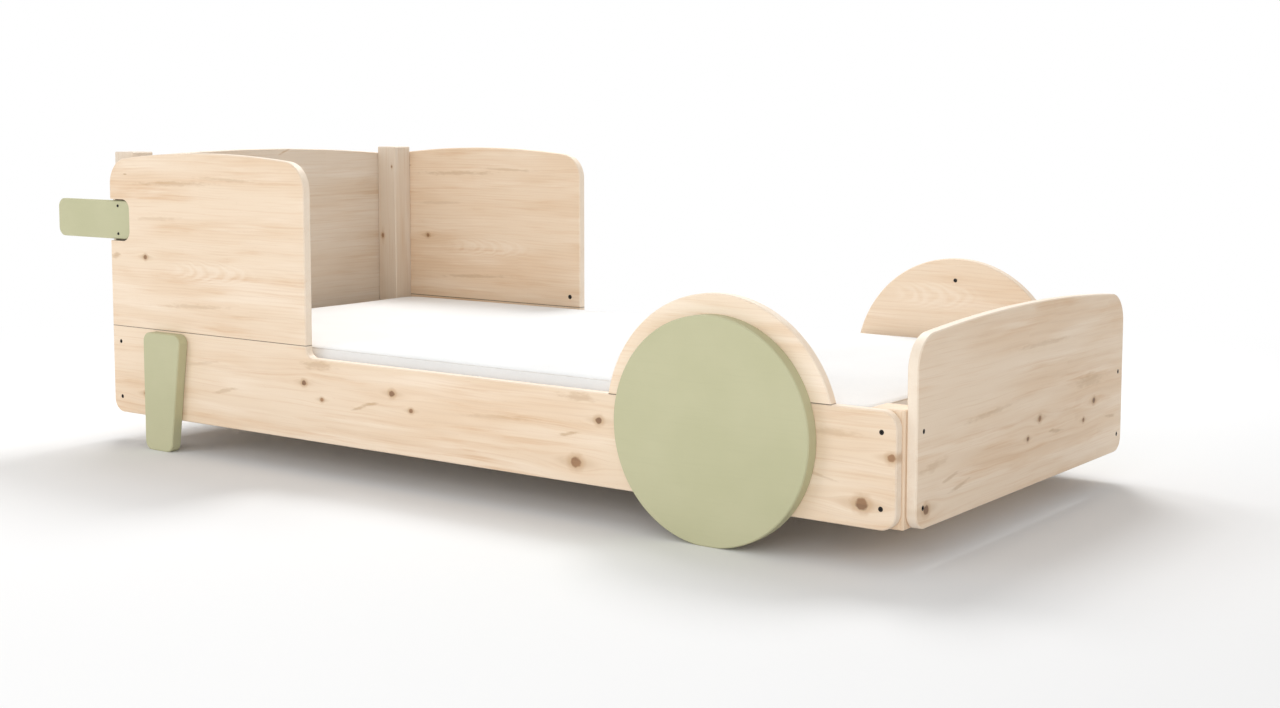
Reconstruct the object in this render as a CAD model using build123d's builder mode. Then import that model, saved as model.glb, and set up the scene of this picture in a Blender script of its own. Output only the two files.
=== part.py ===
from build123d import *
import os
from math import sqrt

# Child's single bed shaped like a tractor: board rails and panels bolted to corner posts, painted wheel
# discs and legs on the outer faces, and a roll-out slatted base under the mattress. Millimetres. +X points
# to the foot end, -Y to the near side, +Z up, and the origin is on the floor under the middle of the whole
# length and width.

# Mattress
mattress_length = 1900
mattress_width = 900
mattress_thickness = 120
mattress_crown = 3
mattress_tuck = 5
mattress_corner = 40
mattress_edge_round = 14
mattress_end_gap = 2
mattress_side_gap = 5
mattress_proud = 3

# Boards: rails, guard panels, headboard and footboard
board = 20
edge_bevel = 2
arch_rise = 20
arch_corner = 60
lower_corner = 30
rail_clearance = 70
rail_height = 200
guard_length = 640
guard_height = 398
entry_drop = 25
entry_round = 20
footboard_height = 340
end_board_inset = 26

# Corner posts
post_x = 64
post_y = 58
post_reveal = 4

# Painted shapes: wheel discs, legs and tail plates
wheel_radius = 204
wheel_thickness = 27
wheel_flat = 40
wheel_from_foot = 354
fender_margin = 36
fender_step = 80
fender_step_gap = 1
leg_from_head = 139
leg_top_width = 126
leg_bottom_width = 90
leg_below_rail_top = 4
leg_thickness = 25
leg_corner = 20
tail_reach = 200
tail_lap = 65
tail_height = 88
tail_above_rail = 243
tail_thickness = 10
tail_corner = 20
tail_pocket_gap = 3.5
tail_pocket_depth = 15

# Slatted base
ledge_width = 30
ledge_height = 38
ledge_end_gap = 1
slat_count = 14
slat_width = 75
slat_thickness = 19
slat_side_gap = 2
slat_end_margin = 12
strap_width = 30
strap_thickness = 1.5
strap_from_side = 190

# Bolts that hold the rails, headboard and footboard to the posts
fit_gap = 0.05
bolt_head_radius = 4.5
bolt_head_height = 3
bolt_head_sink = 0.5
bolt_socket_radius = 2.5
bolt_socket_depth = 2
bolt_from_edge = 36
upper_bolt_from_top = 68

# Places that follow from the sizes
rail_length = mattress_length + 2 * (mattress_end_gap + post_x - post_reveal)
overall_length = tail_reach + rail_length + post_reveal + board
frame_width = mattress_width + 2 * (mattress_side_gap + board)
head_x = tail_reach - overall_length / 2
foot_x = head_x + rail_length
middle_x = (head_x + foot_x) / 2
outer_y = frame_width / 2
inner_y = outer_y - board
rail_bottom_z = rail_clearance
rail_top_z = rail_bottom_z + rail_height
entry_z = rail_top_z - entry_drop
top_z = rail_top_z + guard_height
guard_middle_x = head_x + guard_length / 2
guard_front_x = head_x + guard_length
head_post_face_x = head_x - post_reveal
foot_post_face_x = foot_x + post_reveal
wheel_x = foot_x - wheel_from_foot
wheel_z = sqrt(wheel_radius**2 - (wheel_flat / 2) ** 2)
fender_radius = wheel_radius + fender_margin
step_x = wheel_x - fender_step
leg_x = head_x + leg_from_head
leg_top_z = rail_top_z - leg_below_rail_top
tail_z = rail_top_z + tail_above_rail
mattress_top_z = rail_top_z + mattress_proud
rim_z = mattress_top_z - mattress_crown
seat_z = mattress_top_z - mattress_thickness
ledge_top_z = seat_z - slat_thickness
ledge_length = rail_length - 2 * (post_x - post_reveal + ledge_end_gap)
slat_length = frame_width - 2 * (board + slat_side_gap)
slat_span = mattress_length - 2 * slat_end_margin - slat_width
slat_pitch = slat_span / (slat_count - 1)

# Bolts go through the boards into the middle of each post's face
bolt_seat_depth = bolt_head_sink + bolt_head_height
low_bolt_z = rail_bottom_z + bolt_from_edge
high_bolt_z = rail_top_z - bolt_from_edge
upper_bolt_z = top_z - upper_bolt_from_top
post_bolt_y = inner_y - post_y / 2
head_bolt_x = head_post_face_x + post_x / 2
foot_bolt_x = foot_post_face_x - post_x / 2
rail_bolt_spots = [(x, z) for x in (head_bolt_x, foot_bolt_x) for z in (low_bolt_z, high_bolt_z)]
footboard_bolt_spots = [(y, z) for y in (-post_bolt_y, post_bolt_y) for z in (low_bolt_z, high_bolt_z)]
headboard_bolt_spots = footboard_bolt_spots + [(-post_bolt_y, upper_bolt_z), (post_bolt_y, upper_bolt_z)]

# How far an edge or corner may lie from a stated height and still be picked by it
reach = 1

# Faces that the boards lie against or show. Each plane's normal points out of the bed, and its own y is
# the height.
post_outer = Plane.XZ.offset(inner_y)
rail_outer = Plane.XZ.offset(outer_y)
foot_outer = Plane.YZ.offset(foot_post_face_x + board)
head_outer = Plane(origin=(head_post_face_x - board, 0, 0), x_dir=(0, -1, 0), z_dir=(-1, 0, 0))

os.makedirs("parts", exist_ok=True)


def save(piece, label):
    """Labels one finished piece and writes its file."""
    piece.part.label = label
    export_step(piece.part, f"parts/{label}.step")


def save_pair(near, label):
    """Writes the near side's piece and its mirror image on the far side."""
    save(near, f"near_{label}")
    with BuildPart() as far:
        mirror(near.part, about=Plane.XZ)
    save(far, f"far_{label}")


# Corner posts: square-cut timber inside the rails, the head pair as tall as the guard panels
def corner_post(outer_x, inward, top):
    with BuildPart() as post:
        with BuildSketch(Plane.XY.offset(rail_bottom_z)):
            with Locations((outer_x + inward * post_x / 2, post_y / 2 - inner_y)):
                Rectangle(post_x, post_y)
        extrude(amount=top - rail_bottom_z)
        chamfer(edges(), edge_bevel)
    return post


save_pair(corner_post(head_post_face_x, 1, top_z), "head_post")
save_pair(corner_post(foot_post_face_x, -1, rail_top_z), "foot_post")

# Side rail: one board, full height at both ends and lowered at the entry
with BuildPart() as near_side_rail:
    with BuildSketch(post_outer):
        with BuildLine():
            Polyline(
                (head_x, rail_bottom_z),
                (head_x, rail_top_z),
                (guard_front_x, rail_top_z),
                (guard_front_x, entry_z),
                (step_x, entry_z),
                (step_x, rail_top_z),
                (foot_x, rail_top_z),
                (foot_x, rail_bottom_z),
                close=True,
            )
        make_face()
        low_corners = vertices().group_by(Axis.Y)[0]
        foot_top_corner = vertices().group_by(Axis.Y)[-1].sort_by(Axis.X)[-1]
        fillet([*low_corners, foot_top_corner], lower_corner)
        fillet(vertices().filter_by_position(Axis.Y, entry_z - reach, entry_z + reach), entry_round)
    extrude(amount=board)
    outline = edges().group_by(Axis.Y)[0] + edges().group_by(Axis.Y)[-1]
    top_edges = outline.filter_by_position(Axis.Z, rail_top_z - reach, rail_top_z + reach)
    guard_seat = top_edges.group_by(Axis.X)[0]
    chamfer(outline - guard_seat, edge_bevel)
    with Locations(rail_outer):
        with Locations(*rail_bolt_spots):
            Hole(bolt_head_radius + fit_gap, bolt_seat_depth)
save_pair(near_side_rail, "side_rail")

# Guard panel: an arched side panel that stands on the rail, with a pocket at the rear for the tail plate
with BuildPart() as near_guard_panel:
    with BuildSketch(post_outer):
        with BuildLine():
            arch = ThreePointArc(
                (head_x, top_z - arch_rise),
                (guard_middle_x, top_z),
                (guard_front_x, top_z - arch_rise),
            )
            Polyline(arch @ 1, (guard_front_x, rail_top_z), (head_x, rail_top_z), arch @ 0)
        make_face()
        fillet(vertices().group_by(Axis.Y)[-1], arch_corner)
    extrude(amount=board)
    outline = edges().group_by(Axis.Y)[0] + edges().group_by(Axis.Y)[-1]
    seam = outline.group_by(Axis.Z)[0]
    chamfer(outline - seam, edge_bevel)
    with BuildSketch(rail_outer):
        with Locations((head_x, tail_z)):
            RectangleRounded(
                2 * (tail_lap + tail_pocket_gap),
                tail_height + 2 * tail_pocket_gap,
                tail_corner + tail_pocket_gap,
            )
    extrude(amount=-tail_pocket_depth, mode=Mode.SUBTRACT)
save_pair(near_guard_panel, "guard_panel")


# Headboard and footboard: arched boards on the posts' outer faces, set in from the rails
def end_board(outer_face, top, bolt_spots):
    half_width = outer_y - end_board_inset
    with BuildPart() as arched:
        with BuildSketch(outer_face.offset(-board)):
            with BuildLine():
                arch = ThreePointArc((-half_width, top - arch_rise), (0, top), (half_width, top - arch_rise))
                Polyline(arch @ 1, (half_width, rail_bottom_z), (-half_width, rail_bottom_z), arch @ 0)
            make_face()
            fillet(vertices().group_by(Axis.Y)[-1], arch_corner)
            fillet(vertices().group_by(Axis.Y)[0], lower_corner)
        extrude(amount=board)
        chamfer(edges().group_by(Axis.X)[0] + edges().group_by(Axis.X)[-1], edge_bevel)
        with Locations(outer_face):
            with Locations(*bolt_spots):
                Hole(bolt_head_radius + fit_gap, bolt_seat_depth)
    return arched


save(end_board(head_outer, top_z, headboard_bolt_spots), "headboard")
save(end_board(foot_outer, rail_bottom_z + footboard_height, footboard_bolt_spots), "footboard")

# Fender: a half-round board, concentric with the wheel disc, that steps down with the rail
with BuildPart() as near_fender:
    with BuildSketch(post_outer):
        with Locations((wheel_x, wheel_z)):
            Circle(fender_radius)
        with Locations((step_x - fender_step_gap, entry_z)):
            Rectangle(2 * fender_radius, 2 * fender_radius, align=(Align.MAX, Align.MAX), mode=Mode.SUBTRACT)
        with Locations((step_x - fender_step_gap, rail_top_z)):
            Rectangle(2 * fender_radius, 2 * fender_radius, align=(Align.MIN, Align.MAX), mode=Mode.SUBTRACT)
        fillet(vertices().group_by(Axis.Y)[0].sort_by(Axis.X)[-1], entry_round + fender_step_gap)
    extrude(amount=board)
    chamfer(edges().filter_by(GeomType.CIRCLE).group_by(SortBy.RADIUS)[-1], edge_bevel)
save_pair(near_fender, "fender")

# Wheel disc: a plain painted disc with a short flat where it stands on the floor
with BuildPart() as near_wheel_disc:
    with BuildSketch(rail_outer):
        with Locations((wheel_x, wheel_z)):
            Circle(wheel_radius)
    extrude(amount=wheel_thickness)
    split(bisect_by=Plane.XY)
    chamfer(edges().group_by(Axis.Y)[0] + edges().group_by(Axis.Y)[-1], edge_bevel)
save_pair(near_wheel_disc, "wheel_disc")

# Leg: a painted foot that tapers on the side towards the entry
with BuildPart() as near_leg:
    with BuildSketch(rail_outer):
        with BuildLine():
            Polyline(
                (leg_x, 0),
                (leg_x, leg_top_z),
                (leg_x + leg_top_width, leg_top_z),
                (leg_x + leg_bottom_width, 0),
                close=True,
            )
        make_face()
        fillet(vertices(), leg_corner)
    extrude(amount=leg_thickness)
    chamfer(edges().group_by(Axis.Y)[0] + edges().group_by(Axis.Y)[-1], edge_bevel)
save_pair(near_leg, "leg")

# Tail plate: a painted plate that lies in the guard panel's pocket and reaches past the headboard
with BuildPart() as near_tail_plate:
    with BuildSketch(rail_outer.offset(-tail_pocket_depth)):
        with Locations((head_x + tail_lap, tail_z)):
            Rectangle(tail_reach + tail_lap, tail_height, align=(Align.MAX, Align.CENTER))
        fillet(vertices(), tail_corner)
    extrude(amount=tail_thickness)
    chamfer(edges().group_by(Axis.Y)[0], edge_bevel)
save_pair(near_tail_plate, "tail_plate")

# Slat ledge: the strip on the rail's inner face that carries the slats
with BuildPart() as near_slat_ledge:
    with BuildSketch(Plane.XY.offset(ledge_top_z)):
        with Locations((middle_x, ledge_width / 2 - inner_y)):
            Rectangle(ledge_length, ledge_width)
    extrude(amount=-ledge_height)
save_pair(near_slat_ledge, "slat_ledge")

# Slats: boards that lie across the two ledges
for number in range(slat_count):
    slat_x = middle_x - slat_span / 2 + number * slat_pitch
    with BuildPart() as slat:
        with BuildSketch(Plane.XY.offset(ledge_top_z)):
            with Locations((slat_x, 0)):
                Rectangle(slat_width, slat_length)
        extrude(amount=slat_thickness)
        chamfer(edges().filter_by(Axis.Y), edge_bevel)
    save(slat, f"slat_{number + 1:02d}")

# Slat strap: a webbing band under the slats that keeps them apart
with BuildPart() as near_slat_strap:
    with BuildSketch(Plane.XY.offset(ledge_top_z)):
        with Locations((middle_x, strap_from_side - inner_y)):
            Rectangle(slat_span + slat_width, strap_width)
    extrude(amount=-strap_thickness)
save_pair(near_slat_strap, "slat_strap")


# Mattress: a soft block with a crowned top, and sides and ends that bulge between drawn-in edges
def cushion_profile(half_length):
    """Closed outline with a crowned top and bulging ends, on a plane whose own y is the height."""
    middle_z = (seat_z + mattress_top_z) / 2
    tucked = half_length - mattress_tuck
    with BuildSketch() as profile:
        with BuildLine():
            top = ThreePointArc((-tucked, rim_z), (0, mattress_top_z), (tucked, rim_z))
            end = ThreePointArc(top @ 1, (half_length, middle_z), (tucked, seat_z))
            base = Line(end @ 1, (-tucked, seat_z))
            ThreePointArc(base @ 1, (-half_length, middle_z), top @ 0)
        make_face()
    return profile.sketch


across = cushion_profile(mattress_width / 2)
along = cushion_profile(mattress_length / 2)
with BuildPart() as mattress:
    with BuildSketch(Plane.YZ.offset(middle_x - mattress_length / 2)):
        add(across)
    extrude(amount=mattress_length)
    with BuildSketch(Plane((middle_x, mattress_width / 2, 0), x_dir=(1, 0, 0), z_dir=(0, -1, 0))):
        add(along)
    extrude(amount=mattress_width, mode=Mode.INTERSECT)
    corners = edges().filter_by_position(Axis.Z, seat_z + reach, rim_z - reach)
    fillet(corners, mattress_corner)
    top_rim = edges().filter_by_position(Axis.Z, rim_z - reach, rim_z + reach)
    base_rim = edges().group_by(Axis.Z)[0]
    fillet(top_rim + base_rim, mattress_edge_round)
save(mattress, "mattress")

# Bolt: a round head with a hexagonal socket, placed with +Z out of the face that it is sunk in
with BuildPart() as bolt:
    with BuildSketch(Plane.XY.offset(-bolt_seat_depth)):
        Circle(bolt_head_radius)
    extrude(amount=bolt_head_height)
    with BuildSketch(Plane.XY.offset(-bolt_head_sink)):
        RegularPolygon(bolt_socket_radius, 6)
    extrude(amount=-bolt_socket_depth, mode=Mode.SUBTRACT)

with BuildPart() as rail_bolts:
    with Locations(rail_outer):
        with Locations(*rail_bolt_spots):
            add(bolt.part)
    mirror(about=Plane.XZ)
save(rail_bolts, "rail_bolts")

for outer_face, spots, label in (
    (head_outer, headboard_bolt_spots, "headboard_bolts"),
    (foot_outer, footboard_bolt_spots, "footboard_bolts"),
):
    with BuildPart() as end_bolts:
        with Locations(outer_face):
            with Locations(*spots):
                add(bolt.part)
    save(end_bolts, label)
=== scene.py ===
from math import cos, pi, radians, sin

import bmesh
import bpy
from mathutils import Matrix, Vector, bvhtree, kdtree, noise


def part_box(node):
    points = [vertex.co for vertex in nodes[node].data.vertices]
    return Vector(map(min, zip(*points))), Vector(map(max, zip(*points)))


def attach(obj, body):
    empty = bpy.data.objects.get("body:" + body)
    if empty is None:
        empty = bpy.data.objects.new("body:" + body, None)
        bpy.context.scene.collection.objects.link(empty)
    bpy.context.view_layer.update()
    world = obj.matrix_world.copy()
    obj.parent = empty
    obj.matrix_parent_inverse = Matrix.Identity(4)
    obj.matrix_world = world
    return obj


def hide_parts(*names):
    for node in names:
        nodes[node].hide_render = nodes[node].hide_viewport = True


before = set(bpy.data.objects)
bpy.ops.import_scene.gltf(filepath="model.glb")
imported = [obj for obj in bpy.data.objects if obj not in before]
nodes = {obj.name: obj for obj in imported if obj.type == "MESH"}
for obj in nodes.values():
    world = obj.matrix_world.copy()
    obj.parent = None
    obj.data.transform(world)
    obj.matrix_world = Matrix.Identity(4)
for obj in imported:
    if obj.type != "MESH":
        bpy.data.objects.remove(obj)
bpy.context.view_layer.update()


# Corner posts: square-cut spruce, planed and sealed with a clear satin finish. The end boards are bolted to
# their outer faces and the rails to their sides, so their grain runs upright beside the boards' level grain.
def feed(tree, node, inputs):
    """Gives a node's inputs values, or links them to outputs."""
    for label, value in inputs.items():
        if isinstance(value, bpy.types.NodeSocket):
            tree.links.new(value, node.inputs[label])
        else:
            node.inputs[label].default_value = value


def put(tree, kind, inputs=None, **settings):
    """Adds a node, sets its properties and feeds its inputs."""
    made = tree.nodes.new("ShaderNode" + kind)
    for name, value in settings.items():
        setattr(made, name, value)
    feed(tree, made, inputs or {})
    return made


def calc(tree, operation, *values):
    """One step of arithmetic on numbers or sockets."""
    return put(tree, "Math", dict(enumerate(values)), operation=operation).outputs[0]


def fade(tree, value, low, high, to_low=0.0, to_high=1.0):
    """Eases from one level to another as the value goes from low to high."""
    sockets = {"Value": value, "From Min": low, "From Max": high, "To Min": to_low, "To Max": to_high}
    return put(tree, "MapRange", sockets, interpolation_type="SMOOTHSTEP").outputs[0]


def strayed(tree, value, chance, amount):
    """Moves a value down or up by half the amount at most, as the chance goes from 0 to 1."""
    return calc(tree, "MULTIPLY_ADD", calc(tree, "SUBTRACT", chance, 0.5), amount, value)


def ripple(tree, value, pitch):
    """A sine wave that comes round once in each pitch of the value."""
    return calc(tree, "SINE", calc(tree, "MULTIPLY", value, 2 * pi / pitch))


def tint(tree, amount, below, above, blend="MIX"):
    """Mixes two colours by an amount from 0 to 1."""
    colours = {0: amount, 6: below, 7: above}
    return put(tree, "Mix", colours, data_type="RGBA", blend_type=blend).outputs[2]


def axes(tree, place):
    """The three parts of a place."""
    return put(tree, "SeparateXYZ", {0: place}).outputs


def mottle(tree, place, scale, detail):
    """Noise that looks the same in every direction."""
    return put(tree, "TexNoise", {"Vector": place, "Scale": scale, "Detail": detail}).outputs[0]


def drawn_out(tree, place, along, across, detail=3.0):
    """Noise that is stretched along the grain, which is the first axis of the place."""
    stretch = (along, across, across)
    stretched = put(tree, "VectorMath", {0: place, 1: stretch}, operation="MULTIPLY").outputs[0]
    spots = {"Vector": stretched, "Scale": 1.0, "Detail": detail, "Roughness": 0.6}
    return put(tree, "TexNoise", spots).outputs[0]


def shader_group(name, inputs, outputs):
    """An empty node group with named sockets, and its two ends."""
    group = bpy.data.node_groups.new(name, "ShaderNodeTree")
    for label, kind in inputs.items():
        group.interface.new_socket(label, in_out="INPUT", socket_type="NodeSocket" + kind)
    for label, kind in outputs.items():
        group.interface.new_socket(label, in_out="OUTPUT", socket_type="NodeSocket" + kind)
    return group, group.nodes.new("NodeGroupInput").outputs, group.nodes.new("NodeGroupOutput").inputs


# What a board's marks add up to: hearts and rings of knots, grain bent round them, stains, and arched figure
grain_marks = {"Heart": "Float", "Halo": "Float", "Bend": "Float", "Stain": "Float", "Figure": "Float"}


def mark_group(name, *sizes):
    """A group that adds one mark to those before it: its tree, ends and distances from the mark's middle."""
    placed = {"Board": "Vector", "Along": "Float", "Across": "Float", **dict.fromkeys(sizes, "Float")}
    group, given, result = shader_group(name, {**placed, **grain_marks}, grain_marks)
    for label in grain_marks:
        group.links.new(given[label], result[label])
    board = axes(group, given["Board"])
    along = calc(group, "SUBTRACT", board[0], given["Along"])
    across = calc(group, "SUBTRACT", board[1], given["Across"])
    return group, given, result, along, across


def distance(tree, along, across):
    """The straight distance that two distances at right angles add up to."""
    squares = [calc(tree, "POWER", side, 2.0) for side in (along, across)]
    return calc(tree, "SQRT", calc(tree, "ADD", *squares))


def knot_group():
    """A knot through a board: a ragged heart, a tan ring, faint tails, and grain that bends round it."""
    group, given, result, along, across = mark_group("Spruce knot", "Radius")
    heart_oval, tail_oval, bend_oval, raggedness = 0.85, 0.22, 0.3, 0.6
    ragged = mottle(group, given["Board"], 110.0, 3.0)
    along = calc(group, "DIVIDE", along, given["Radius"])
    across = calc(group, "DIVIDE", across, given["Radius"])
    reach = distance(group, calc(group, "MULTIPLY", along, heart_oval), across)
    reach = strayed(group, reach, ragged, raggedness)
    tail = distance(group, calc(group, "MULTIPLY", along, tail_oval), across)
    far_along = calc(group, "POWER", calc(group, "MULTIPLY", along, bend_oval), 2.0)
    far = calc(group, "ADD", far_along, calc(group, "POWER", across, 2.0))
    spread = calc(group, "MULTIPLY_ADD", far, 0.5, 0.6)
    pull = calc(group, "DIVIDE", calc(group, "MULTIPLY", given["Radius"], across), spread)
    added = {
        "Heart": fade(group, reach, 0.95, 0.6),
        "Halo": fade(group, reach, 1.9, 0.9),
        "Stain": fade(group, tail, 1.2, 0.3, 0, 0.3),
    }
    for label, value in added.items():
        group.links.new(calc(group, "MAXIMUM", given[label], value), result[label])
    group.links.new(calc(group, "ADD", given["Bend"], pull), result["Bend"])
    return group


def streak_group():
    """A brown streak or stain along the grain, with ragged edges, which may lie aslant."""
    sizes = ("Length", "Height", "Slope", "Strength")
    group, given, result, along, across = mark_group("Grain streak", *sizes)
    raggedness = 1.6
    ragged = drawn_out(group, given["Board"], 45.0, 160.0)
    aslant = calc(group, "SUBTRACT", across, calc(group, "MULTIPLY", along, given["Slope"]))
    along = calc(group, "DIVIDE", along, given["Length"])
    across = calc(group, "DIVIDE", aslant, given["Height"])
    reach = strayed(group, distance(group, along, across), ragged, raggedness)
    stain = calc(group, "MULTIPLY", fade(group, reach, 1.05, 0.25), given["Strength"])
    group.links.new(calc(group, "MAXIMUM", given["Stain"], stain), result["Stain"])
    return group


def figure_group():
    """Arched figure, where the saw ran nearly level with the growth rings."""
    group, given, result, along, across = mark_group("Arched figure", "Length", "Height")
    arch_pitch, arch_rise, unevenness = 0.25, 0.9, 0.40
    along = calc(group, "DIVIDE", along, given["Length"])
    across = calc(group, "DIVIDE", across, given["Height"])
    waver = mottle(group, given["Board"], 30.0, 2.0)
    arch = calc(group, "MULTIPLY_ADD", calc(group, "POWER", across, 2.0), arch_rise, along)
    arch = calc(group, "MULTIPLY_ADD", waver, unevenness, arch)
    lines = calc(group, "MULTIPLY_ADD", ripple(group, arch, arch_pitch), 0.5, 0.5)
    figure = calc(group, "MULTIPLY", lines, fade(group, distance(group, along, across), 1.0, 0.45))
    group.links.new(calc(group, "MAXIMUM", given["Figure"], figure), result["Figure"])
    return group


def spruce_group():
    """Edge-glued spruce staves: growth rings cut lengthwise, streaks, fibres, and each board's own marks."""
    inputs = {"Board": "Vector", "Seed": "Float", "Edge": "Float", "Joint_shade": "Float", "Tone": "Color"}
    outputs = {"Color": "Color", "Roughness": "Float", "Height": "Float"}
    group, given, result = shader_group("Clear spruce", {**inputs, **grain_marks}, outputs)

    # Staves: rows of equal width, each cut into lengths at its own places, with three numbers of luck a stave
    stave_width, stave_length, row_shift, row_number, seed_shift = 0.071, 0.95, 7.0, 17.3, -1.7
    seed = given["Seed"]
    board = axes(group, given["Board"])
    row = calc(group, "FLOOR", calc(group, "ADD", calc(group, "DIVIDE", board[1], stave_width), seed))
    row_luck = put(group, "TexWhiteNoise", {"W": calc(group, "ADD", row, seed)}, noise_dimensions="1D")
    offset = calc(group, "MULTIPLY", row_luck.outputs[0], row_shift)
    run = calc(group, "ADD", calc(group, "DIVIDE", board[0], stave_length), offset)
    stave = calc(group, "MULTIPLY_ADD", row, row_number, calc(group, "FLOOR", run))
    dealt = put(group, "TexWhiteNoise", {"W": calc(group, "ADD", stave, seed)}, noise_dimensions="1D")
    luck = put(group, "SeparateColor", {0: dealt.outputs["Color"]}).outputs

    # Where the grain is looked up: another part of the log for each seed, bent round knots and curled
    elsewhere = calc(group, "MULTIPLY", seed, seed_shift)
    shift = put(group, "CombineXYZ", {0: elsewhere, 1: given["Bend"]}).outputs[0]
    place = put(group, "VectorMath", {0: given["Board"], 1: shift}, operation="SUBTRACT").outputs[0]
    curl = put(group, "TexNoise", {"Vector": place, "Scale": 4.0, "Detail": 2.0}).outputs["Color"]
    sideways = {0: curl, 1: (0.0, 0.012, 0.0), 2: place}
    curled = put(group, "VectorMath", sideways, operation="MULTIPLY_ADD").outputs[0]

    # Growth rings: distance from a pith that lies behind the face at a slant, wavering along its length
    ring_pitch, pith_slant, pith_spread, pith_waver, pith_depth = 0.0055, 0.05, 0.09, 0.05, 0.02
    waver = drawn_out(group, place, 1.3, 5.0, 2.0)
    slant = calc(group, "MULTIPLY", calc(group, "SUBTRACT", luck[2], 0.5), pith_slant)
    side = strayed(group, calc(group, "MULTIPLY", board[0], slant), luck[0], pith_spread)
    side = calc(group, "ADD", calc(group, "ADD", board[1], side), calc(group, "MULTIPLY", waver, pith_waver))
    side = calc(group, "SUBTRACT", side, given["Bend"])
    deep = calc(group, "ADD", board[2], calc(group, "MULTIPLY_ADD", luck[1], 0.05, pith_depth))
    wave = ripple(group, distance(group, side, deep), ring_pitch)
    rings = calc(group, "POWER", calc(group, "MULTIPLY_ADD", wave, 0.5, 0.5), 3.0)

    # Bands, streaks and fibres, from the broadest to the finest
    band = drawn_out(group, curled, 1.7, 12.0)
    streak = drawn_out(group, curled, 3.6, 46.0, 5.0)
    bright = drawn_out(group, curled, 2.2, 27.0, 3.0)
    line = drawn_out(group, curled, 4.0, 230.0, 2.0)
    thread = drawn_out(group, curled, 5.0, 420.0, 2.0)
    tick = drawn_out(group, place, 70.0, 1100.0, 1.0)

    # The wood's own colours, then each board's tone (a painted shade on the head-end parts), the sanded edges
    # with a painted highlight, stains, knots, and a painted shade line at the joints over them
    pale, bleached, warm = (0.865, 0.705, 0.540, 1), (0.920, 0.780, 0.630, 1), (0.800, 0.605, 0.425, 1)
    orange, late, stained = (0.735, 0.505, 0.315, 1), (0.620, 0.420, 0.265, 1), (0.500, 0.320, 0.165, 1)
    silky, sanded_and_highlight, joint_shade_brown = (0.945, 0.825, 0.690, 1), (0.910, 0.820, 0.705, 1), (0.070, 0.042, 0.026, 1)
    knot_tan, knot_brown, knot_dark = (0.52, 0.31, 0.15, 1), (0.33, 0.17, 0.08, 1), (0.13, 0.06, 0.03, 1)
    dull, untinted = (0.980, 0.975, 0.965, 1), (1.0, 1.0, 1.0, 1)
    colour = tint(group, fade(group, band, 0.40, 0.66, 0.0, 0.8), pale, warm)
    colour = tint(group, fade(group, bright, 0.50, 0.68, 0.0, 0.6), colour, bleached)
    banded = fade(group, band, 0.40, 0.60, 0.12, 0.8)
    streaked = calc(group, "MULTIPLY", fade(group, streak, 0.50, 0.68), banded)
    streaked = calc(group, "MULTIPLY", streaked, fade(group, line, 0.40, 0.60, 0.35, 1.0))
    colour = tint(group, streaked, colour, orange)
    colour = tint(group, fade(group, line, 0.54, 0.72, 0.0, 0.28), colour, orange)
    ringed = calc(group, "MULTIPLY", rings, fade(group, band, 0.35, 0.65, 0.03, 0.14))
    colour = tint(group, ringed, colour, late)
    colour = tint(group, fade(group, thread, 0.55, 0.75, 0.0, 0.20), colour, late)
    colour = tint(group, fade(group, tick, 0.70, 0.80, 0.0, 0.35), colour, late)
    colour = tint(group, calc(group, "MULTIPLY", given["Figure"], 0.38), colour, silky)
    colour = tint(group, 1.0, colour, tint(group, luck[1], dull, untinted), "MULTIPLY")
    colour = tint(group, 1.0, colour, given["Tone"], "MULTIPLY")
    # Partly painted highlight: edge faces turn paler, as sanded edges are, and as a highlight where the edges
    # catch the light
    colour = tint(group, given["Edge"], colour, sanded_and_highlight)
    colour = tint(group, given["Stain"], colour, stained)
    colour = tint(group, calc(group, "MULTIPLY", given["Halo"], 0.45), colour, knot_tan)
    heartwood = tint(group, fade(group, streak, 0.35, 0.65), knot_brown, knot_dark)
    colour = tint(group, calc(group, "MULTIPLY", given["Heart"], 0.85), colour, heartwood)
    # Painted shade: a dark line in the seams between parts and round the tail plate's pocket
    colour = tint(group, given["Joint_shade"], colour, joint_shade_brown)
    group.links.new(colour, result["Color"])
    group.links.new(calc(group, "MULTIPLY_ADD", thread, 0.16, 0.42), result["Roughness"])
    relief = calc(group, "ADD", calc(group, "MULTIPLY", thread, 0.6), calc(group, "MULTIPLY", rings, 0.25))
    group.links.new(calc(group, "SUBTRACT", relief, given["Heart"]), result["Height"])
    return group


clear_spruce = spruce_group()
spruce_knot, grain_streak, arched_figure = knot_group(), streak_group(), figure_group()


def new_material(name):
    """A material with its node tree and its surface shader."""
    material = bpy.data.materials.new(name)
    material.use_nodes = True
    return material, material.node_tree, material.node_tree.nodes["Principled BSDF"]


def object_place(tree):
    """Where a point of the surface lies in the bed's own frame."""
    return put(tree, "TexCoord").outputs["Object"]


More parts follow.
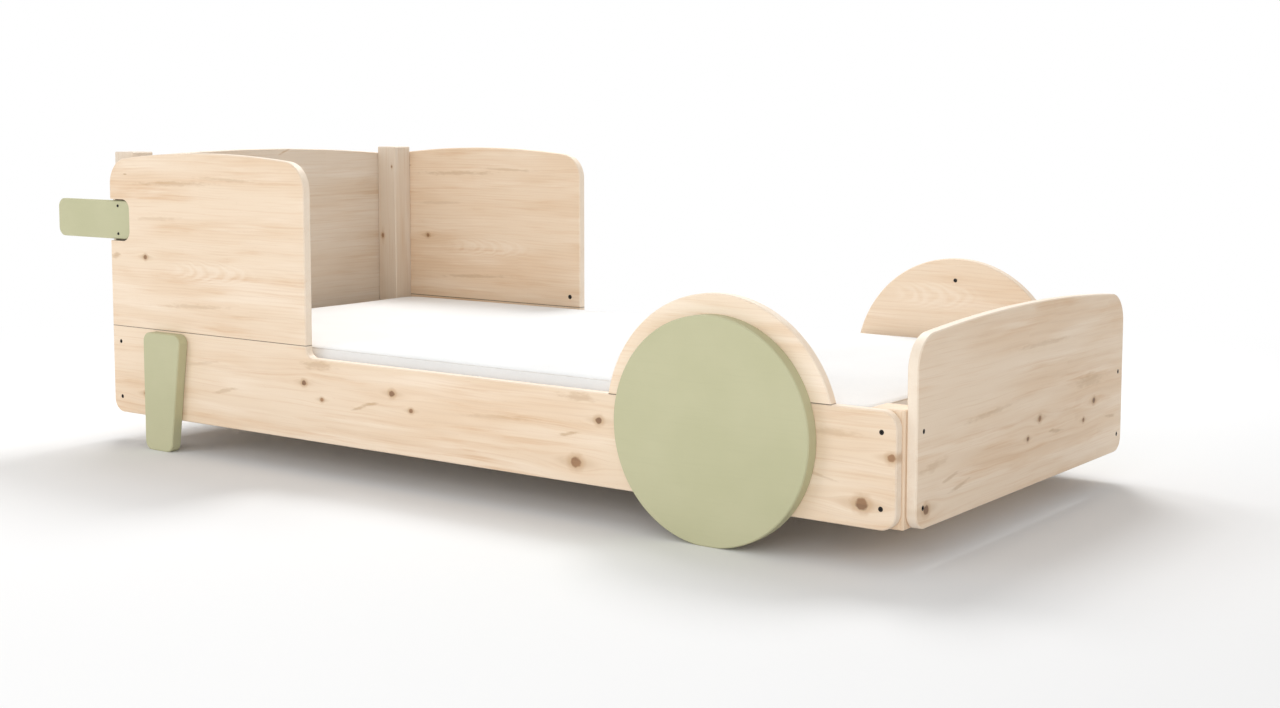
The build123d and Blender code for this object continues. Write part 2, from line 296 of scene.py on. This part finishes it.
def clear_wood(
    name, along, across, seed, knots=(), streaks=(), figures=(), joints=(), tone=(1, 1, 1, 1), edges=0.0
):
    """Sealed spruce whose grain runs along one axis of the bed and whose width runs along another.

    Knots are (along, across, radius), streaks (along, across, length, height, slope, strength), figures
    (along, across, length, height), and joints (from, to, across), where the board meets its neighbour and a
    dark line of painted shade is drawn. Edges says how much paler the board's edge faces are than its broad
    faces: sanded edges, with a painted highlight on them.
    """
    material, tree, surface = new_material(name)
    place = axes(tree, object_place(tree))
    through = ({"X", "Y", "Z"} - {along, across}).pop()
    board = put(tree, "CombineXYZ", {0: place[along], 1: place[across], 2: place[through]}).outputs[0]
    marks = dict.fromkeys(grain_marks, 0.0)
    for group, spots in ((spruce_knot, knots), (grain_streak, streaks), (arched_figure, figures)):
        sizes = [socket.name for socket in group.interface.items_tree if socket.in_out == "INPUT"][1:]
        for spot in spots:
            mark = put(tree, "Group", node_tree=group)
            feed(tree, mark, {"Board": board, **dict(zip(sizes, spot)), **marks})
            marks = {label: mark.outputs[label] for label in marks}
    # Painted shade: a dark line where the board meets its neighbour, standing in for the shade in the seam
    joint_half_width, joint_shade_strength = 0.0009, 0.75
    joint_shade = 0.0
    for start, end, level in joints:
        close = calc(tree, "COMPARE", place[across], level, joint_half_width)
        within = calc(tree, "COMPARE", place[along], (start + end) / 2, (end - start) / 2)
        shaded = calc(tree, "MULTIPLY", calc(tree, "MULTIPLY", close, within), joint_shade_strength)
        joint_shade = calc(tree, "MAXIMUM", joint_shade, shaded)
    facing = axes(tree, put(tree, "TexCoord").outputs["Normal"])[through]
    # Partly painted highlight: faces other than the board's broad faces turn paler by the edges amount
    sanded_and_highlight = fade(tree, calc(tree, "ABSOLUTE", facing), 0.95, 0.50, 0.0, edges)
    wood = put(tree, "Group", node_tree=clear_spruce, name="Spruce")
    feed(tree, wood, {"Board": board, "Seed": seed, "Edge": sanded_and_highlight, "Joint_shade": joint_shade, "Tone": tone, **marks})
    bump = put(tree, "Bump", {"Height": wood.outputs["Height"], "Strength": 0.12, "Distance": 0.0006})
    sealed = {"Roughness": wood.outputs["Roughness"], "IOR": 1.45, "Specular IOR Level": 0.4}
    feed(tree, surface, {"Base Color": wood.outputs["Color"], "Normal": bump.outputs[0], **sealed})
    return material


def finish_with(material, *names):
    """Gives carried-over CAD nodes their finish."""
    for name in names:
        mesh = nodes[name].data
        mesh.materials.clear()
        mesh.materials.append(material)


far_post_knots = [(0.615, -0.876, 0.003), (0.430, -0.912, 0.006)]
# Painted shade: a greyer, cooler tone on the head posts and the headboard stands in for the shade at the head
# end
head_end_shade_tone = (0.870, 0.920, 0.990, 1)
finish_with(clear_wood("Spruce_post_near_head", "Z", "X", 3.1, tone=head_end_shade_tone), "near_head_post")
finish_with(clear_wood("Spruce_post_far_head", "Z", "X", 5.7, far_post_knots, tone=head_end_shade_tone), "far_head_post")
finish_with(clear_wood("Spruce_post_foot", "Z", "X", 8.2), "near_foot_post", "far_foot_post")


# Side rails: one long spruce board a side, glued up from staves and lowered at the entry. Each is bolted to
# the outer sides of the posts with two bolts at either end.
rail_knots = [
    (-0.291, 0.192, 0.0070),
    (-0.238, 0.161, 0.0050),
    (-0.036, 0.193, 0.0078),
    (0.016, 0.163, 0.0055),
    (0.489, 0.193, 0.0080),
    (0.435, 0.109, 0.0125),
    (1.037, 0.110, 0.0125),
    (1.091, 0.193, 0.0080),
    (-0.810, 0.120, 0.0070),
]
rail_streaks = [
    (-0.250, 0.232, 0.060, 0.012, 0.0, 0.45),
    (0.440, 0.232, 0.055, 0.010, 0.0, 0.40),
    (-0.098, 0.165, 0.030, 0.0048, 0.22, 0.60),
    (-0.128, 0.155, 0.030, 0.0042, 0.30, 0.50),
    (0.418, 0.161, 0.030, 0.0050, 0.22, 0.55),
    (0.240, 0.174, 0.110, 0.0060, 0.05, 0.25),
    (-0.540, 0.152, 0.050, 0.0060, 0.22, 0.38),
    (-0.620, 0.205, 0.070, 0.0050, 0.15, 0.25),
    (0.980, 0.225, 0.060, 0.0090, 0.0, 0.30),
    (0.950, 0.150, 0.050, 0.0035, -0.2, 0.35),
]
# Painted shade: dark lines along the seams where the guard and the fender stand on the rail
rail_joints = [(-0.924, -0.284, 0.270), (0.510, 0.665, 0.245), (0.686, 0.977, 0.270)]
rail_wood = clear_wood("Spruce_rail", "X", "Z", 1.4, rail_knots, rail_streaks, joints=rail_joints, edges=0.5)
finish_with(rail_wood, "near_side_rail", "far_side_rail")


# Guard panels: arched spruce side panels that stand on the rails at the head end, held from inside by studs
# and nuts, with a routed pocket at the rear that takes the tail plate.
def paint_pocket_shade(material):
    """Painted shade: a dark line on the pocket's floor and walls round the plate, where shade falls in the
    recess.
    """
    tree = material.node_tree
    pocket_y, pocket_z, pocket_front = 0.4665, 0.5130, -0.8550
    half_depth, half_height, pocket_shade_strength = 0.0078, 0.0480, 0.85
    place = axes(tree, object_place(tree))
    depth = calc(tree, "COMPARE", calc(tree, "ABSOLUTE", place["Y"]), pocket_y, half_depth)
    length = calc(tree, "LESS_THAN", place["X"], pocket_front)
    height = calc(tree, "COMPARE", place["Z"], pocket_z, half_height)
    level = calc(tree, "MULTIPLY", depth, length)
    pocket_shade = calc(tree, "MULTIPLY", level, calc(tree, "MULTIPLY", height, pocket_shade_strength))
    joint_shade = tree.nodes["Spruce"].inputs["Joint_shade"]
    tree.links.new(calc(tree, "MAXIMUM", joint_shade.links[0].from_socket, pocket_shade), joint_shade)


guard_knots = [(-0.801, 0.432, 0.0062)]
guard_streaks = [
    (-0.866, 0.618, 0.010, 0.0022, 0.0, 0.80),
    (-0.905, 0.431, 0.018, 0.0085, 0.1, 0.55),
    (-0.700, 0.600, 0.160, 0.0070, 0.02, 0.40),
    (-0.520, 0.612, 0.120, 0.0050, -0.03, 0.30),
    (-0.640, 0.330, 0.140, 0.0060, 0.04, 0.35),
    (-0.760, 0.520, 0.100, 0.0060, 0.03, 0.25),
]
guard_figure = [(-0.580, 0.408, 0.170, 0.034)]
# Painted shade: a dark line along the seam where the guard stands on the rail
guard_joint = [(-0.924, -0.284, 0.270)]
guard_wood = clear_wood(
    "Spruce_guard", "X", "Z", 2.3, guard_knots, guard_streaks, guard_figure, guard_joint, edges=0.5
)
paint_pocket_shade(guard_wood)
finish_with(guard_wood, "near_guard_panel", "far_guard_panel")


# Headboard and footboard: arched spruce boards glued up from staves, with level grain and rounded upper
# corners, bolted to the posts' outer faces.
footboard_knots = [
    (0.041, 0.191, 0.0070),
    (-0.011, 0.160, 0.0052),
    (0.250, 0.159, 0.0052),
    (0.301, 0.191, 0.0070),
    (-0.415, 0.101, 0.0100),
]
footboard_streaks = [
    (0.278, 0.234, 0.085, 0.0180, 0.0, 0.35),
    (-0.290, 0.121, 0.045, 0.0050, 0.15, 0.45),
    (-0.330, 0.140, 0.040, 0.0045, 0.15, 0.40),
    (0.112, 0.158, 0.040, 0.0050, -0.10, 0.50),
    (0.388, 0.149, 0.030, 0.0045, -0.10, 0.45),
    (-0.180, 0.230, 0.120, 0.0060, 0.05, 0.30),
    (0.060, 0.330, 0.160, 0.0060, 0.0, 0.28),
    (-0.390, 0.170, 0.060, 0.0100, 0.1, 0.30),
]
headboard_streaks = [(0.066, 0.660, 0.028, 0.0030, 0.37, 0.55), (-0.250, 0.450, 0.160, 0.0080, 0.0, 0.30)]
footboard_wood = clear_wood("Spruce_footboard", "Y", "Z", 6.9, footboard_knots, footboard_streaks, edges=0.6)
finish_with(footboard_wood, "footboard")
# Painted shade: the headboard takes the greyer head-end tone
headboard_wood = clear_wood(
    "Spruce_headboard", "Y", "Z", 4.6, streaks=headboard_streaks, tone=head_end_shade_tone, edges=0.5
)
finish_with(headboard_wood, "headboard")


# Fenders: half-round spruce boards that stand on the rails behind the wheel discs, screwed to the discs from
# inside. The near one has a paler, cooler tone than the far one, and the far one shows arched figure.
# Painted shade: dark lines along the seams where the fender stands on the rail
fender_joints = [(0.509, 0.666, 0.245), (0.666, 0.977, 0.270)]
fender_figure = [(0.700, 0.360, 0.130, 0.040)]
paler = (1.070, 1.095, 1.125, 1)
near_fender_wood = clear_wood(
    "Spruce_fender_near", "X", "Z", 7.5, joints=fender_joints, tone=paler, edges=0.4
)
far_fender_wood = clear_wood(
    "Spruce_fender_far", "X", "Z", 4.9, figures=fender_figure, joints=fender_joints, edges=0.4
)
finish_with(near_fender_wood, "near_fender")
finish_with(far_fender_wood, "far_fender")


# Slatted base: two ledges screwed inside the rails carry fourteen planed slats, which two webbing bands keep
# apart so that the base rolls up.
finish_with(clear_wood("Spruce_ledge", "X", "Z", 9.3), "near_slat_ledge", "far_slat_ledge")
slat_names = [name for name in nodes if name.startswith("slat_")]
finish_with(clear_wood("Spruce_slat", "Y", "X", 0.8), *slat_names)


def webbing():
    """Undyed woven band with fine ribs across it."""
    material, tree, surface = new_material("Webbing")
    weft_pitch, warp_pitch = 0.0016, 0.0024
    hollow, raised = (0.52, 0.50, 0.45, 1), (0.66, 0.64, 0.58, 1)
    place = axes(tree, object_place(tree))
    weft = ripple(tree, place["X"], weft_pitch)
    warp = ripple(tree, place["Y"], warp_pitch)
    weave = calc(tree, "MULTIPLY_ADD", calc(tree, "MULTIPLY", weft, warp), 0.5, 0.5)
    bump = put(tree, "Bump", {"Height": weave, "Distance": 0.0004})
    colour = tint(tree, weave, hollow, raised)
    feed(tree, surface, {"Base Color": colour, "Roughness": 0.9, "Normal": bump.outputs[0]})
    return material


finish_with(webbing(), "near_slat_strap", "far_slat_strap")


# Wheel discs, legs and tail plates: boards sprayed with a matt sage-green lacquer over a sealer, with the
# wood's fibres just telegraphing through. Discs and legs are screwed on from behind, and the plates from
# outside.
def sage_lacquer():
    """Matt lacquer, a little cloudy, with the fine stipple of its spraying."""
    material, tree, surface = new_material("Sage_lacquer")
    sage, light_sage, fibre_sage = (0.500, 0.490, 0.300, 1), (0.530, 0.515, 0.325, 1), (0.44, 0.43, 0.26, 1)
    place = object_place(tree)
    cloud = mottle(tree, place, 7.0, 3.0)
    spray = mottle(tree, place, 900.0, 2.0)
    drawn = put(tree, "VectorMath", {0: place, 1: (12.0, 300.0, 300.0)}, operation="MULTIPLY").outputs[0]
    fibre = mottle(tree, drawn, 1.0, 3.0)
    colour = tint(tree, fade(tree, cloud, 0.3, 0.7), sage, light_sage)
    colour = tint(tree, fade(tree, fibre, 0.5, 0.8, 0.0, 0.15), colour, fibre_sage)
    roughness = calc(tree, "MULTIPLY_ADD", spray, 0.15, 0.45)
    relief = calc(tree, "ADD", calc(tree, "MULTIPLY", fibre, 0.7), calc(tree, "MULTIPLY", spray, 0.3))
    bump = put(tree, "Bump", {"Height": relief, "Strength": 0.15, "Distance": 0.0004})
    feed(tree, surface, {"Base Color": colour, "Roughness": roughness, "Normal": bump.outputs[0]})
    return material


painted = [side + piece for side in ("near_", "far_") for piece in ("wheel_disc", "leg", "tail_plate")]
finish_with(sage_lacquer(), *painted)


# Bolts: black-oxide steel bolts that draw the rails and the end boards against the posts. Their round heads
# with hexagonal sockets are sunk in the boards.
def black_steel():
    """Blackened steel, whose oxide is finely uneven."""
    material, tree, surface = new_material("Black_steel")
    dark, worn = (0.012, 0.011, 0.010, 1), (0.035, 0.032, 0.030, 1)
    oxide = mottle(tree, object_place(tree), 1400.0, 2.0)
    colour = tint(tree, oxide, dark, worn)
    roughness = calc(tree, "MULTIPLY_ADD", oxide, 0.2, 0.35)
    feed(tree, surface, {"Base Color": colour, "Roughness": roughness, "Metallic": 0.6})
    return material


black_oxide = black_steel()
finish_with(black_oxide, "rail_bolts", "headboard_bolts", "footboard_bolts")


# Tail plate screws, guard nuts and fender screws: small blackened heads. The screws hold the plates in their
# pockets and the fenders to the discs, and the nuts, let into the guards' inner faces, grip the studs that
# stand in the rails.
def add_object(name, data):
    """Puts a new object into the scene."""
    made = bpy.data.objects.new(name, data)
    bpy.context.scene.collection.objects.link(made)
    return made


def turned_heads(name, profile, spots, outward):
    """Heads turned about an axis that points along Y, with a hexagonal socket in their last rings."""
    sides, corner = 24, pi / 3
    made = bmesh.new()
    for centre in spots:
        rings = []
        for radius, height, hexagonal in profile:
            ring = []
            for side in range(sides):
                angle = 2 * pi * side / sides
                fold = (angle + corner / 2) % corner - corner / 2
                reach = radius / cos(fold) if hexagonal else radius
                offset = Vector((reach * cos(angle), outward * height, reach * sin(angle)))
                ring.append(made.verts.new(Vector(centre) + offset))
            rings.append(ring)
        for inner, outer in zip(rings, rings[1:]):
            for side in range(sides):
                after = (side + 1) % sides
                made.faces.new((inner[side], inner[after], outer[after], outer[side]))
        made.faces.new(rings[0])
        made.faces.new(rings[-1])
    bmesh.ops.recalc_face_normals(made, faces=made.faces)
    mesh = bpy.data.meshes.new(name)
    made.to_mesh(mesh)
    made.free()
    mesh.materials.append(black_oxide)
    heads = add_object(name, mesh)
    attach(heads, "frame")


def head_profile(radius, height):
    """A low rounded head: its rings as radius, height and whether the ring is six-sided."""
    sunk = 0.0002
    return [
        (radius, -sunk, False),
        (radius, 0.45 * height, False),
        (0.85 * radius, 0.85 * height, False),
        (0.60 * radius, height, False),
        (0.45 * radius, height, True),
        (0.45 * radius, 0.2 * height, True),
    ]


plate_screw_head = head_profile(0.0033, 0.0016)
guard_nut_head = head_profile(0.0055, 0.0010)
fender_screw_head = head_profile(0.0042, 0.0016)
plate_face, board_inner_face = 0.470, 0.455
for side, toward_middle in (("near", 1), ("far", -1)):
    plate_y, board_y = -plate_face * toward_middle, -board_inner_face * toward_middle
    plate_spots = [(-0.902, plate_y, 0.481), (-0.902, plate_y, 0.545)]
    guard_spots = [(-0.316, board_y, 0.295)]
    fender_spots = [(0.746, board_y, 0.396)]
    turned_heads(f"Tail_plate_screws_{side}", plate_screw_head, plate_spots, -toward_middle)
    turned_heads(f"Guard_nut_{side}", guard_nut_head, guard_spots, toward_middle)
    turned_heads(f"Fender_screws_{side}", fender_screw_head, fender_spots, toward_middle)


# Mattress: a foam block in a plain white cotton cover, resting on the slats. The cover is sewn from a top, a
# base and a boxed side, and a thin piping runs in both seams, which hold the cover down while the filling
# swells between them.
def seam_line(height):
    """Points round the mattress just outside its edge at one height."""
    low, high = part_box("mattress")
    corner, arc_steps, run_step = 0.045, 8, 0.02
    line = []
    centres = [(high.x, high.y, 0), (low.x, high.y, 1), (low.x, low.y, 2), (high.x, low.y, 3)]
    for edge_x, edge_y, turn in centres:
        centre_x = edge_x - corner if edge_x == high.x else edge_x + corner
        centre_y = edge_y - corner if edge_y == high.y else edge_y + corner
        for step in range(arc_steps + 1):
            angle = (turn + step / arc_steps) * pi / 2
            line.append(Vector((centre_x + corner * cos(angle), centre_y + corner * sin(angle), height)))
    round_trip = []
    for start, end in zip(line, line[1:] + line[:1]):
        pieces = max(1, round((end - start).length / run_step))
        round_trip += [start.lerp(end, piece / pieces) for piece in range(pieces)]
    return round_trip


def nearest_seam(lines):
    """A search tree of all the seams' points."""
    points = [point for line in lines for point in line]
    tree = kdtree.KDTree(len(points))
    for number, point in enumerate(points):
        tree.insert(point, number)
    tree.balance()
    return tree


def fill_cushion(cushion, seams):
    """Swells the cover between its seams with a short cloth simulation."""
    held_width, last_moment = 0.018, 20
    held = cushion.vertex_groups.new(name="Sewn_edges")
    for vertex in cushion.data.vertices:
        away = seams.find(vertex.co)[2]
        held.add([vertex.index], 1.0 if away < held_width else 0.0, "REPLACE")
    cloth = cushion.modifiers.new("Filling", "CLOTH")
    cloth.settings.quality = 3
    cloth.settings.use_pressure = True
    cloth.settings.uniform_pressure_force = 4
    cloth.settings.effector_weights.gravity = 0
    cloth.settings.vertex_group_mass = held.name
    for moment in range(1, last_moment + 1):
        bpy.context.scene.frame_set(moment)
    swollen = cushion.evaluated_get(bpy.context.evaluated_depsgraph_get()).data
    places = [vertex.co.copy() for vertex in swollen.vertices]
    cushion.modifiers.clear()
    bpy.context.scene.frame_set(1)
    return places


def applied(thing):
    """Gives an object the mesh that its modifiers make of it, in place of them."""
    mesh = bpy.data.meshes.new_from_object(thing.evaluated_get(bpy.context.evaluated_depsgraph_get()))
    thing.modifiers.clear()
    thing.data = mesh
    return mesh


def mattress_cushion():
    """The filled cover, from the mattress's own solid, and the lines of its two seams."""
    slack, swell, voxel = 0.003, 0.010, 0.014
    seam_tuck, tuck_width = 0.0025, 0.035
    broad_hollows, broad_pitch = 0.0012, 7.0
    seam_puckers, pucker_pitch, pucker_width = 0.0008, 34.0, 0.09
    low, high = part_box("mattress")
    middle = (low + high) / 2
    size = high - low
    cushion = add_object("Mattress_cover", nodes["mattress"].data.copy())
    for vertex in cushion.data.vertices:
        for axis in range(3):
            vertex.co[axis] = middle[axis] + (vertex.co[axis] - middle[axis]) * (1 - 2 * slack / size[axis])
    remesh = cushion.modifiers.new("Even_faces", "REMESH")
    remesh.mode = "VOXEL"
    remesh.voxel_size = voxel
    even = applied(cushion)
    lines = [seam_line(high.z - slack), seam_line(low.z + slack)]
    seams = nearest_seam(lines)
    started = [vertex.co.copy() for vertex in even.vertices]
    places = fill_cushion(cushion, seams)
    for vertex, start, place in zip(even.vertices, started, places):
        moved = place - start
        away = seams.find(start)[2]
        if moved.length > swell:
            moved *= swell / moved.length
        tuck = seam_tuck * max(0.0, 1 - away / tuck_width) ** 2
        hollow = broad_hollows * noise.noise(start * broad_pitch)
        pucker = seam_puckers * noise.noise(start * pucker_pitch) * max(0.0, 1 - away / pucker_width)
        outward = (start - middle).normalized()
        vertex.co = start + moved + outward * (hollow + pucker - tuck)
        for axis in range(3):
            vertex.co[axis] = min(max(vertex.co[axis], low[axis]), high[axis])
    rounder = cushion.modifiers.new("Smooth_cover", "SUBSURF")
    rounder.levels = rounder.render_levels = 1
    smooth = applied(cushion)
    cushion.vertex_groups.clear()
    smooth.shade_smooth()
    return cushion, lines


def cotton_weave(name, light, cloudy):
    """Plain cotton weave, a little uneven in its threads, with faint clouding where it has been handled."""
    material, tree, surface = new_material(name)
    thread_pitch, thread_shade = 0.0014, (0.70, 0.70, 0.69, 1)
    place = object_place(tree)
    spot = axes(tree, place)
    slub = mottle(tree, place, 420.0, 2.0)
    weft = ripple(tree, calc(tree, "ADD", spot["X"], spot["Z"]), thread_pitch)
    warp = ripple(tree, calc(tree, "ADD", spot["Y"], spot["Z"]), thread_pitch)
    weave = calc(tree, "MULTIPLY_ADD", calc(tree, "MULTIPLY", weft, warp), 0.35, slub)
    cloud = mottle(tree, place, 5.0, 4.0)
    colour = tint(tree, fade(tree, cloud, 0.35, 0.7), light, cloudy)
    colour = tint(tree, fade(tree, weave, 0.1, 0.9, 0.25, 0.0), colour, thread_shade)
    roughness = calc(tree, "MULTIPLY_ADD", slub, 0.1, 0.86)
    bump = put(tree, "Bump", {"Height": weave, "Strength": 0.35, "Distance": 0.0005})
    nap = {"Sheen Weight": 0.15, "Sheen Roughness": 0.4}
    feed(tree, surface, {"Base Color": colour, "Roughness": roughness, "Normal": bump.outputs[0], **nap})
    return material


def piping(name, line, cover, material):
    """A corded edge that lies on the cover along its seam."""
    cord_radius, raised = 0.0017, 0.3
    surface = bvhtree.BVHTree.FromObject(cover, bpy.context.evaluated_depsgraph_get())
    curve = bpy.data.curves.new(name, "CURVE")
    curve.dimensions = "3D"
    curve.bevel_depth = cord_radius
    curve.bevel_resolution = 2
    spline = curve.splines.new("NURBS")
    spline.points.add(len(line) - 1)
    for point, spot in zip(spline.points, line):
        place, normal = surface.find_nearest(spot)[:2]
        point.co = (*(place + raised * cord_radius * normal), 1)
    spline.order_u = 3
    spline.use_cyclic_u = True
    curve.materials.append(material)
    return add_object(name, curve)


cotton = cotton_weave("White_cotton", (0.86, 0.86, 0.855, 1), (0.83, 0.83, 0.825, 1))
edging = cotton_weave("Cotton_edging", (0.84, 0.84, 0.835, 1), (0.78, 0.78, 0.775, 1))
mattress_cover, seam_lines = mattress_cushion()
mattress_cover.data.materials.clear()
mattress_cover.data.materials.append(cotton)
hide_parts("mattress")
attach(mattress_cover, "mattress")
for name, line in (("Mattress_top_piping", seam_lines[0]), ("Mattress_base_piping", seam_lines[1])):
    cord = piping(name, line, mattress_cover, edging)
    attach(cord, "mattress")


# Studio: a plain pale paper floor that runs out to white, two strong lamps high behind the bed, two weaker
# and broader ones low on the near side, even white light all round, and the camera at the photograph's place.
def studio_floor():
    """Pale paper, which the camera sees fade to white behind the bed and far away from it."""
    floor_size, backward = 40, (-0.6, 0.8, 0.0)
    bpy.ops.mesh.primitive_plane_add(size=floor_size)
    floor = bpy.context.object
    floor.name = "Studio_floor"
    material, tree, paper = new_material("Floor_paper")
    place = object_place(tree)
    behind = put(tree, "VectorMath", {0: place, 1: backward}, operation="DOT_PRODUCT").outputs["Value"]
    away = put(tree, "VectorMath", {0: place}, operation="LENGTH").outputs["Value"]
    faded = calc(tree, "MAXIMUM", fade(tree, behind, 0.6, 2.3), fade(tree, away, 2.4, 4.6))
    amount = calc(tree, "MULTIPLY", faded, put(tree, "LightPath").outputs["Is Camera Ray"])
    white = put(tree, "Emission", {"Color": (1, 1, 1, 1), "Strength": 1.0}).outputs[0]
    feed(tree, paper, {"Base Color": (0.855, 0.855, 0.855, 1), "Roughness": 1.0, "Specular IOR Level": 0.0})
    mixed = put(tree, "MixShader", {0: amount, 1: paper.outputs[0], 2: white}).outputs[0]
    feed(tree, tree.nodes["Material Output"], {"Surface": mixed})
    floor.data.materials.append(material)


studio_floor()


def lamp(name, place, aim, size, power):
    """A round soft lamp that shines at one point."""
    light = bpy.data.lights.new(name, "AREA")
    light.shape = "DISK"
    light.size = size
    light.energy = power
    holder = add_object(name, light)
    holder.location = place
    holder.rotation_euler = (Vector(aim) - Vector(place)).to_track_quat("-Z", "Y").to_euler()


bed_heart = (0, 0, 0.3)
lamp("Lamp_behind_far_side", (-0.88, 2.43, 3.99), bed_heart, 1.7, 102)
lamp("Lamp_behind_head", (-2.24, 1.29, 3.99), bed_heart, 1.7, 53)
lamp("Lamp_near_head", (-2.20, -3.81, 1.35), bed_heart, 2.5, 35)
lamp("Lamp_near_foot", (2.20, -3.81, 1.35), bed_heart, 2.5, 40)

# The surroundings light the bed with less than the white that the camera and reflections see
world = bpy.data.worlds.new("Studio")
bpy.context.scene.world = world
world.use_nodes = True
sky = world.node_tree
lit = sky.nodes["Background"]
feed(sky, lit, {"Color": (1, 1, 1, 1), "Strength": 0.604})
seen = put(sky, "Background", {"Color": (1, 1, 1, 1), "Strength": 1.0}).outputs[0]
rays = put(sky, "LightPath").outputs
reflected = calc(sky, "MAXIMUM", rays["Is Glossy Ray"], rays["Is Transmission Ray"])
direct = calc(sky, "MAXIMUM", rays["Is Camera Ray"], reflected)
backdrop = put(sky, "MixShader", {0: direct, 1: lit.outputs[0], 2: seen}).outputs[0]
feed(sky, sky.nodes["World Output"], {"Surface": backdrop})

looks_down, turned = 5.366, 36.701
camera = bpy.data.cameras.new("Camera")
camera.sensor_width = 36
camera.lens = 49.575
camera.shift_x = 0.0131
camera.shift_y = -0.0566
viewpoint = add_object("Camera", camera)
viewpoint.location = (2.4357, -3.0119, 0.7496)
viewpoint.rotation_euler = (radians(90 - looks_down), 0, radians(turned))
bpy.context.scene.camera = viewpoint
bpy.context.scene.view_settings.view_transform = "Standard"
